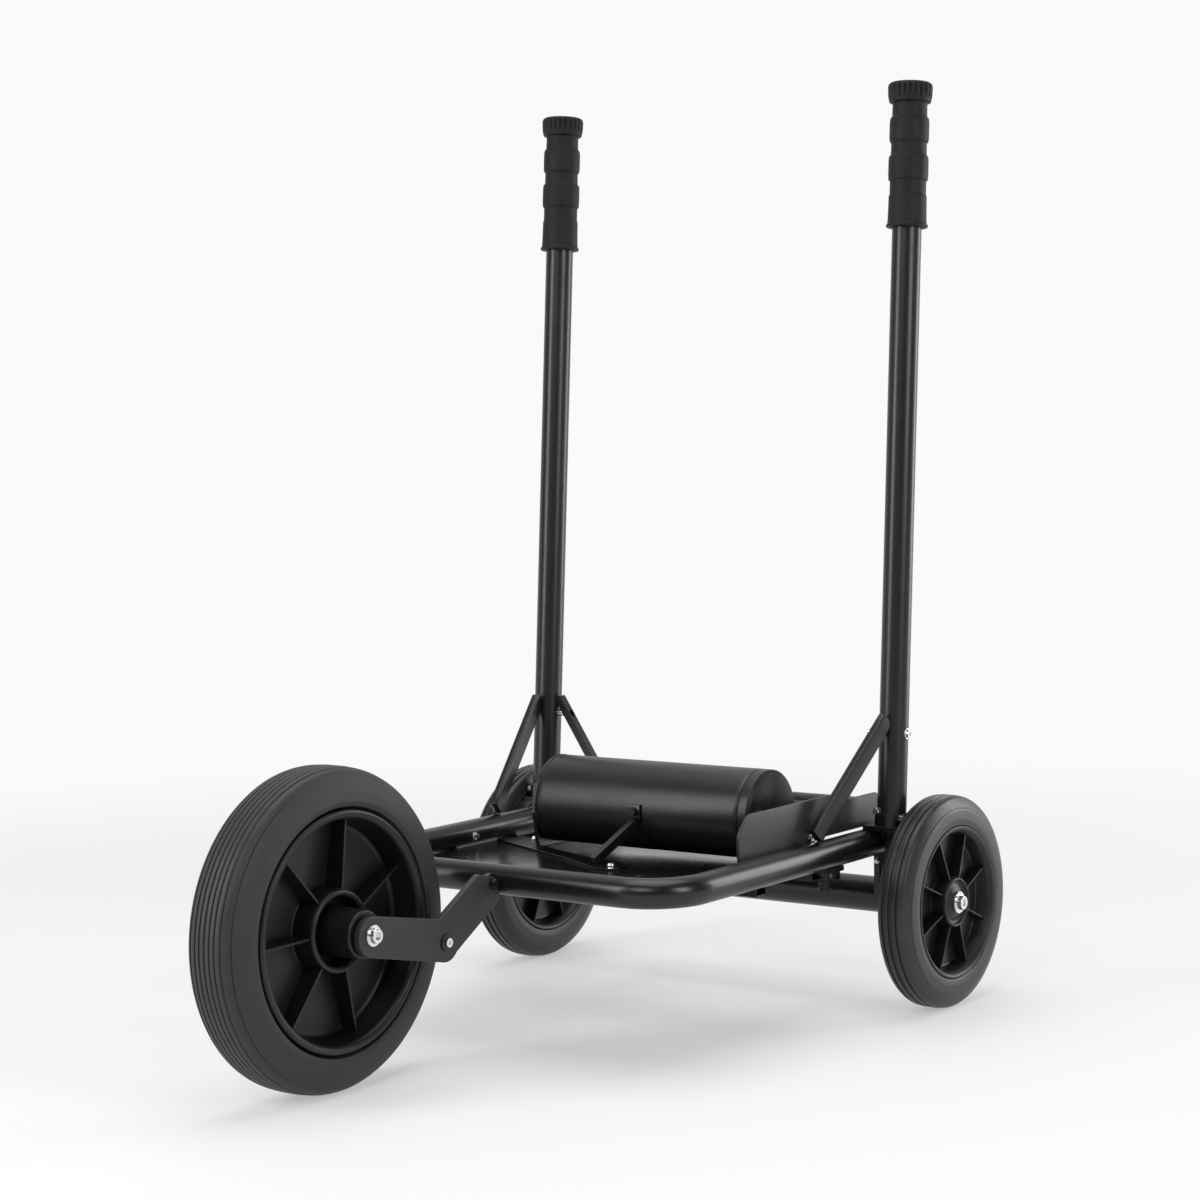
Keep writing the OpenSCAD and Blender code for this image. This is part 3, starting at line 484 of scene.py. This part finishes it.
for sideName, side in sides.items():
    rows = soften(gripRows, 0.7, 4)
    origin = poleSpot(side, poleTop - gripSettings["capHeight"] - gripSettings["length"])
    makePiece("grip_" + sideName, [turned(rows, origin, poleAxis, 72, ring=True)], "chassis",
              ["grip_" + sideName], gripRubber, 50)
    segments = gripSettings["flutes"] * 8
    a = np.linspace(0, 2 * np.pi, segments, endpoint=False)
    dip = gripSettings["fluteDepth"] * np.clip(np.cos(gripSettings["flutes"] * a) - 0.1, 0, 1)
    form = 1 - dip[None] * np.array(fluted)[:, None]
    origin = poleSpot(side, poleTop - gripSettings["capHeight"])
    makePiece("gripCap_" + sideName, [turned(capRows, origin, poleAxis, segments, form)], "chassis",
              ["grip_cap_" + sideName], gripRubber, 50)
print("poles and grips made")

# tyres: half a profile, mirrored across the middle of the wheel
noseSettings = {"seat": 131, "radius": 175, "ribs": 7, "first": 169}
s, r = noseSettings["seat"] + 0.1, noseSettings["radius"]
noseHalf = [(s, 30), (s + 1.6, 33), (s + 2.6, 36.6), (s + 8, 37.2), (s + 18, 35.6), (s + 28, 33),
            (s + 33.4, 30.8), (r - 9.6, 30.2), (r - 10, 28.8), (r - 8.2, 28.6), (r - 4.6, 25.8), (r - 2, 22),
            (r - 3.4, 21.2), (r - 3.4, 20), (r - 1.2, 19.2), (r - 0.5, 14.6), (r - 2.2, 14), (r - 2.2, 13),
            (r - 0.4, 12.4), (r, 8), (r - 1.8, 7.4), (r - 1.8, 6.4), (r, 5.8), (r, 1.2), (r - 1.8, 0.5)]
rearSettings = {"seat": 91, "radius": 127, "ribs": 8, "first": 157}
s, r = rearSettings["seat"] + 0.1, rearSettings["radius"]
rearHalf = [(s, 20.6), (s + 1.4, 21.8), (s + 8, 22.4), (s + 18, 22), (s + 20.6, 21.6), (s + 21, 20.8),
            (s + 21.8, 21), (s + 28, 18.6), (r - 3.4, 16.4), (r - 1.4, 13.6), (r - 0.4, 10.6), (r - 2.8, 9.8),
            (r - 2.8, 7.8), (r, 7), (r, 2.6), (r - 2.6, 1.8), (r - 2.6, 1.2)]


def wholeTyre(half, reach):
    half = np.array(half, float)
    return soften(np.concatenate([half, half[::-1] * (1, -1)]), reach, 3)


makePiece("noseTyre", [turned(wholeTyre(noseHalf, 0.5), noseCentre, segments=200, ring=True)], "front_wheel",
          ["front_tyre"], noseRubber, 60)
for sideName in sides:
    shape = turned(wholeTyre(rearHalf, 0.5), rearCentre[sideName], segments=176, ring=True)
    makePiece("rearTyre_" + sideName, [shape], "rear_axle_set", ["rear_tyre_" + sideName], rearRubber,
              60)


# thin ribs: a section thick at the web and thin at its two edges, carried out along the radius
def ribs(count, first, centre, inner, outer, innerHalf, outerHalf, root, edge):
    t = np.linspace(0, 1, 10)
    radius = inner + (outer - inner) * t
    half = innerHalf + (outerHalf - innerHalf) * t
    outline = soften([(-edge, -1), (edge, -1), (root, 0), (edge, 1), (-edge, 1), (-root, 0)], 0.12, 3)
    shapes = []
    for k in range(count):
        a = math.radians(first + 360 * k / count)
        out, across = np.array([0, math.sin(a), -math.cos(a)]), np.array([0, math.cos(a), math.sin(a)])
        spine = np.array(centre) + out * radius[:, None] * mm
        axial = np.array([1.0, 0, 0]) * outline[:, 1, None]
        grid = spine[:, None] + axial[None] * half[:, None, None] * mm
        grid = grid + (across * outline[:, :1])[None] * mm
        verts = np.concatenate([spine[:1], grid.reshape(-1, 3), spine[-1:]])
        n = len(outline)
        faces = [list(f + 1) for f in gridFaces(len(t), n, False, True)]
        faces += [[0, 1 + j, 1 + (j + 1) % n] for j in range(n)]
        base = 1 + (len(t) - 1) * n
        faces += [[len(verts) - 1, base + j, base + (j + 1) % n] for j in range(n)]
        shapes.append((verts, faces))
    return shapes


s = noseSettings["seat"]
noseRimRows = [(s, -30), (s - 0.6, -35), (s - 2, -37.4), (s - 5, -38), (s - 9, -36.6), (s - 11, -33),
               (s - 12, -26), (s - 16, -5), (s - 20, -3), (47, -3), (45.6, -24), (44.6, -29), (41.6, -31),
               (38.6, -29.6), (37.4, -26), (36.4, -8), (27, -8), (26, -36), (24, -38), (16.1, -38),
               (16.1, -26), (12, -26), (12, 52), (16.1, 52), (16.1, 64), (24.6, 64), (26, 62.4), (26.6, 10),
               (36.4, 8), (37.4, 26), (38.6, 29.6), (41.6, 31), (44.6, 29), (45.6, 24), (47, 3), (s - 20, 3),
               (s - 16, 5), (s - 12, 26), (s - 11, 33), (s - 9, 36.6), (s - 5, 38), (s - 2, 37.4),
               (s - 0.6, 35), (s, 30)]
shapes = [turned(soften(noseRimRows, 1.4, 4), noseCentre, segments=144, ring=True)]
shapes += ribs(7, noseSettings["first"], noseCentre, 44.6, s - 12.6, 26, 21, 2.3, 1.4)
makePiece("noseRim", shapes, "front_wheel", ["front_rim"], rimPlastic, 45)

s = rearSettings["seat"]
rearRimRows = [(s, -20.4), (s - 0.3, -21.8), (s - 2, -22.3), (s - 4.6, -21.2), (s - 7.8, -16.6),
               (s - 10, -9.6), (s - 12.4, -3), (s - 14, -2.2), (31, -2.2), (29.8, -19), (28.4, -21),
               (26.6, -21), (25.2, -17), (22, -16.4), (17, -19), (13, -20), (10, -20), (10, 20), (13, 20),
               (17, 19), (22, 16.4), (25.2, 17), (26.6, 21), (28.4, 21), (29.8, 19), (31, 2.2),
               (s - 14, 2.2), (s - 12.4, 3), (s - 10, 9.6), (s - 7.8, 16.6), (s - 4.6, 21.2),
               (s - 2, 22.3), (s - 0.3, 21.8), (s, 20.4)]
for sideName in sides:
    centre = rearCentre[sideName]
    shapes = [turned(soften(rearRimRows, 1.0, 4), centre, segments=128, ring=True)]
    shapes += ribs(8, rearSettings["first"], centre, 29, s - 8.4, 17.4, 15, 1.5, 0.9)
    makePiece("rearRim_" + sideName, shapes, "rear_axle_set", ["rear_rim_" + sideName], rimPlastic,
              45)
print("wheels made")

# drum: shell and two caps, all turned about the same line, rows are (radius, place along x)
drumSettings = {"y": 193, "z": 245.5, "radius": 53, "left": -131, "right": 179}
d = drumSettings
drumAt = np.array([0, d["y"], d["z"]]) * mm
r = d["radius"]
shellRows = [(r - 2.5, d["left"] + 6), (r - 0.3, d["left"] + 6), (r, d["left"] + 6.4)]
shellRows += [(r, x) for x in np.linspace(d["left"] + 12, d["right"] - 20, 24)]
shellRows += [(r, d["right"] - 14.4), (r - 0.3, d["right"] - 14), (r - 2.5, d["right"] - 14)]
makePiece("drumShell", [turned(shellRows, drumAt, segments=128, ring=True)], "chassis", ["drum_shell"],
          drumCoat)
leftRows = [(16.05, 0), (r - 2, 0), (r + 0.6, 1.4), (r + 0.6, 4.4), (r - 0.4, 5.6), (r - 2.7, 5.8),
            (r - 2.7, 14), (r - 7, 14), (r - 7, 6), (22, 6), (22, 16), (16.05, 16)]
leftAt = drumAt + np.array([d["left"] * mm, 0, 0])
makePiece("drumCap_left", [turned(soften(leftRows, 0.8, 4), leftAt, segments=128, ring=True)], "chassis",
          ["drum_cap_left"], drumCoat)
rightRows = [(0, 0.6), (r - 5, 0.6), (r - 4.4, 0), (r - 1.4, 0), (r, -1.6), (r, -12.6), (r - 0.6, -13.8),
             (r - 2.7, -13.9), (r - 2.7, -22), (r - 7, -22), (r - 7, -6), (22, -6), (22, -18), (16.05, -18),
             (16.05, -5), (0, -5)]
rightAt = drumAt + np.array([d["right"] * mm, 0, 0])
screwAt = np.array([d["right"], d["y"] - 36, d["z"] + 6]) * mm
screwRows = [(0, -1), (5.5, -1), (5.5, 6.4), (4.9, 7), (3.6, 7.2), (3.6, 11.4), (3, 12), (0, 12)]
shapes = [turned(soften(rightRows, 0.6, 4, False), rightAt, segments=128)]
shapes.append(turned(screwRows, screwAt, segments=32))
makePiece("drumCap_right", shapes, "chassis", ["drum_cap_right"], drumCoat)
print("drum made")

# forward braces, from each rail up to its pole: the foot and head are those of the right one
braceSettings = {"width": 10, "height": 20, "corner": 2.2, "foot": (236.4, 197.5, 223.4),
                 "head": (259.8, 321.5, 348.4)}
for sideName, side in sides.items():
    k = braceSettings
    path = np.linspace(k["foot"], k["head"], 12) * (side, 1, 1)
    shape = swept(path, tubeSection(k["width"], k["height"], k["corner"]))
    makePiece("forwardBrace_" + sideName, [shape], "chassis", ["forward_brace_" + sideName], frameCoat)

# plain plates and tubes whose edges are only rounded
for name, node, finish, slotName, edge in [
    ("crossTube", "rear_cross_tube", frameCoat, "frame_powder_coat", 0.3),
    ("frontBar", "front_cross_bar", frameCoat, "frame_powder_coat", 0.8),
    ("rearBar", "rear_cross_bar", frameCoat, "frame_powder_coat", 0.8),
    ("axleHousing_left", "axle_housing_left", frameCoat, "frame_powder_coat", 0.5),
    ("axleHousing_right", "axle_housing_right", frameCoat, "frame_powder_coat", 0.5),
    ("axleBracket_left", "axle_bracket_left", frameCoat, "frame_powder_coat", 0.7),
    ("axleBracket_right", "axle_bracket_right", frameCoat, "frame_powder_coat", 0.7),
    ("poleFoot_left", "pole_foot_left", frameCoat, "frame_powder_coat", 0.7),
    ("poleFoot_right", "pole_foot_right", frameCoat, "frame_powder_coat", 0.7),
    ("deckStrap", "deck_strap", deckCoat, "deck_gloss_coat", 0.5),
    ("strut", "drum_strut", frameCoat, "frame_powder_coat", 0.8),
    ("strutClamp", "strut_clamp", frameCoat, "frame_powder_coat", 0.4),
    ("drivePlate", "drive_plate", frameCoat, "frame_powder_coat", 0.6),
    ("drumHanger", "drum_hanger", frameCoat, "frame_powder_coat", 0.6),
    ("armLug", "arm_lug", frameCoat, "frame_powder_coat", 0.6),
    ("inwardBrace", "inward_brace", frameCoat, "frame_powder_coat", 1.2),
    ("railGland", "rail_gland", plugPlastic, "black_plastic", 0.4),
    ("frontAxle", "front_axle", zinc, "zinc_fasteners", 0.4),
    ("kneeBolt", "knee_bolt", zinc, "zinc_fasteners", 0.4),
    ("kneeWasher", "knee_washer", frameCoat, "arm_powder_coat", 0.3),
    ("topArmBolt", "top_arm_bolt", frameCoat, "arm_powder_coat", 0.3),
    ("poleBolts", "pole_bolts", zinc, "zinc_fasteners", 0.4),
    ("footBolts", "foot_bolts", zinc, "zinc_fasteners", 0.4),
    ("deckBolts", "deck_bolts", zinc, "zinc_fasteners", 0.3),
    ("sidePlateBolt", "side_plate_bolt", zinc, "zinc_fasteners", 0.3),
]:
    roundedCopy(name, node, "chassis", finish, edge)
roundedCopy("hubBolts", "rear_hub_bolts", "rear_axle_set", zinc, 0.4)
print("plates and bolts made")

# deck sheet: flat, with a rim set just inside the tube and two pressed beads
deckSettings = {"top": 188, "thick": 3, "half": 218, "front": -80, "rear": 210, "corner": 46,
                "beads": (95, 155), "beadFront": -60, "beadRear": 50, "beadHalf": 5}
k = deckSettings
outline = [(-k["half"], k["front"]), (k["half"], k["front"]), (k["half"], k["rear"]), (-k["half"], k["rear"])]
outline = soften(outline, k["corner"], 14)
shapes = [slab(outline, k["top"] - k["thick"], k["top"], 0.8, ontoZ)]
for x in k["beads"]:
    left, right, front, rear = x - k["beadHalf"], x + k["beadHalf"], k["beadFront"], k["beadRear"]
    bead = soften([(left, front), (right, front), (right, rear), (left, rear)], 4.5, 6)
    shapes.append(slab(bead, k["top"] - 0.5, k["top"] + 1.2, 1.1, ontoZ))
makePiece("deck", shapes, "chassis", ["deck_plate"], deckCoat)

# plain side plate standing on the right rail, in the frame coat painted lighter as painted light on its face
plateSettings = {"inner": 219, "outer": 223, "edge": 0.7, "corner": 9}
plateOutline = soften([(58, 214), (64, 209), (214, 209), (221, 216.4), (366, 216.4), (366, 254), (292, 254),
                       (280, 264), (78, 264), (58, 244)], plateSettings["corner"], 8)
k = plateSettings
makePiece("sidePlate", [slab(plateOutline, k["inner"], k["outer"], k["edge"], ontoX)], "chassis",
          ["side_plate"], plateLitCoat)

# flat arm from the frame tube down to the knee and on to the hub
armSettings = {"inner": 5, "outer": 13, "half": 22, "knee": (-204, 147), "hub": (-324, 173)}
k = armSettings
a = np.radians(np.arange(-38, -105, -6))
kneeArc = np.stack([k["knee"][0] + k["half"] * np.cos(a), k["knee"][1] + k["half"] * np.sin(a)], -1)
a = np.radians(np.arange(-104, -281, -6))
hubArc = np.stack([k["hub"][0] + k["half"] * np.cos(a), k["hub"][1] + k["half"] * np.sin(a)], -1)
topEdge = np.array([(-212.5, 173.4), (-147, 211.2), (-143, 212), (-119, 205.6), (-113.8, 203), (-113.8, 193),
                    (-109.4, 186), (-108.8, 180), (-112, 177)])
armOutline = soften(np.concatenate([topEdge, kneeArc, hubArc]), 1.6, 3)
makePiece("frontArm", [slab(armOutline, k["inner"], k["outer"], 0.8, ontoX)], "chassis",
          ["front_arm"], armCoat)

for node, finish in [("front_bearings", brightSteel), ("axle_bearings", brightSteel),
                     ("rotor_bearings", brightSteel), ("rear_axle", brightSteel),
                     ("axle_pulley", turnedAluminium), ("rotor_pulley", turnedAluminium),
                     ("brake_rotor", rotorCopper), ("drive_belt", beltRubber)]:
    recoat(node, finish)
print("deck, side plate and arm made")

# pale floor that fades into the backdrop, so that no horizon shows
paleSettings = {"floor": (0.80, 0.80, 0.795), "backdrop": (0.955, 0.955, 0.945),
                "near": 0.8, "far": 2.6, "glow": 0.42}


def makeFloor(settings):
    rings = np.concatenate([np.linspace(0, 6, 30), [40]])
    profile = np.stack([rings * 1000, np.zeros(len(rings))], -1)
    verts, faces = turned(profile, (0, 0, 0), (0, 0, 1), 96)
    mesh = bpy.data.meshes.new("floor")
    mesh.from_pydata(verts.tolist(), [], faces.tolist())
    floor = bpy.data.objects.new("floor", mesh)
    bpy.context.collection.objects.link(floor)
    f = Finish("paleFloor")
    parts = f.node("ShaderNodeSeparateXYZ", None, {0: f.place})
    x, y = Flow(f, parts.outputs[0]), Flow(f, parts.outputs[1])
    fade = ((x * x + y * y) ** 0.5).between(settings["near"], settings["far"])
    fade = settings["glow"] + fade * (1 - settings["glow"])
    lit = f.node("ShaderNodeBsdfPrincipled", None, {"Base Color": settings["floor"] + (1,), "Roughness": 0.7})
    glow = f.node("ShaderNodeEmission", None, {"Color": settings["backdrop"] + (1,), "Strength": 1.0})
    mixed = f.node("ShaderNodeMixShader", None, {0: fade, 1: lit.outputs[0], 2: glow.outputs[0]})
    f.node("ShaderNodeOutputMaterial", None, {"Surface": mixed.outputs[0]})
    mesh.materials.append(f.material)


makeFloor(paleSettings)

# large soft lights: (place, aims at, width, height, watts)
lightSettings = {
    "rim": ((1.9, 3.1, 1.1), (0.1, 0.2, 0.6), 0.9, 2.2, 42),
    "right": ((3.3, -0.5, 1.7), (0, 0, 0.3), 1.0, 1.6, 40),
    "left": ((-1.6, -2.6, 1.5), (0, 0, 0.5), 0.8, 2.4, 52),
    "top": ((0, 0.1, 3.2), (0, 0, 0), 2.6, 2.6, 56),
    "front": ((0.7, -3.2, 2.6), (0, 0, 0.2), 1.8, 1.0, 34),
}


def makeLight(name, place, target, width, height, power):
    data = bpy.data.lights.new(name, "AREA")
    data.shape = "RECTANGLE"
    data.size, data.size_y, data.energy = width, height, power
    light = bpy.data.objects.new(name, data)
    aim = Vector(target) - Vector(place)
    light.matrix_world = Matrix.Translation(place) @ aim.to_track_quat("-Z", "Y").to_matrix().to_4x4()
    bpy.context.collection.objects.link(light)


for name, settings in lightSettings.items():
    makeLight(name, *settings)


# the backdrop is bright behind the sled and dim in front of it: dim + (bright - dim) * smooth step of the
# dot product of the direction and the line of sight; the camera itself sees one even pale tone
worldSettings = {"dim": 0.07, "bright": 0.85, "from": -0.05, "to": 0.75, "towards": (-0.592, 0.806, 0.0)}


def makeWorld(seen, settings):
    world = bpy.data.worlds.new("studio")
    bpy.context.scene.world = world
    world.use_nodes = True
    nodes, links = world.node_tree.nodes, world.node_tree.links
    nodes.clear()
    path, spot = nodes.new("ShaderNodeLightPath"), nodes.new("ShaderNodeTexCoord")
    facing = nodes.new("ShaderNodeVectorMath")
    facing.operation = "DOT_PRODUCT"
    links.new(spot.outputs["Generated"], facing.inputs[0])
    facing.inputs[1].default_value = settings["towards"]
    level = nodes.new("ShaderNodeMapRange")
    level.interpolation_type = "SMOOTHSTEP"
    links.new(facing.outputs["Value"], level.inputs["Value"])
    for socket, key in (("From Min", "from"), ("From Max", "to"), ("To Min", "dim"), ("To Max", "bright")):
        level.inputs[socket].default_value = settings[key]
    pale, soft = nodes.new("ShaderNodeBackground"), nodes.new("ShaderNodeBackground")
    pale.inputs[0].default_value = seen + (1,)
    soft.inputs[0].default_value = (1, 1, 1, 1)
    links.new(level.outputs[0], soft.inputs["Strength"])
    mix, out = nodes.new("ShaderNodeMixShader"), nodes.new("ShaderNodeOutputWorld")
    links.new(path.outputs["Is Camera Ray"], mix.inputs[0])
    links.new(soft.outputs[0], mix.inputs[1])
    links.new(pale.outputs[0], mix.inputs[2])
    links.new(mix.outputs[0], out.inputs[0])


makeWorld(paleSettings["backdrop"], worldSettings)
bpy.context.scene.view_settings.view_transform = "Standard"
print("floor and lights made")
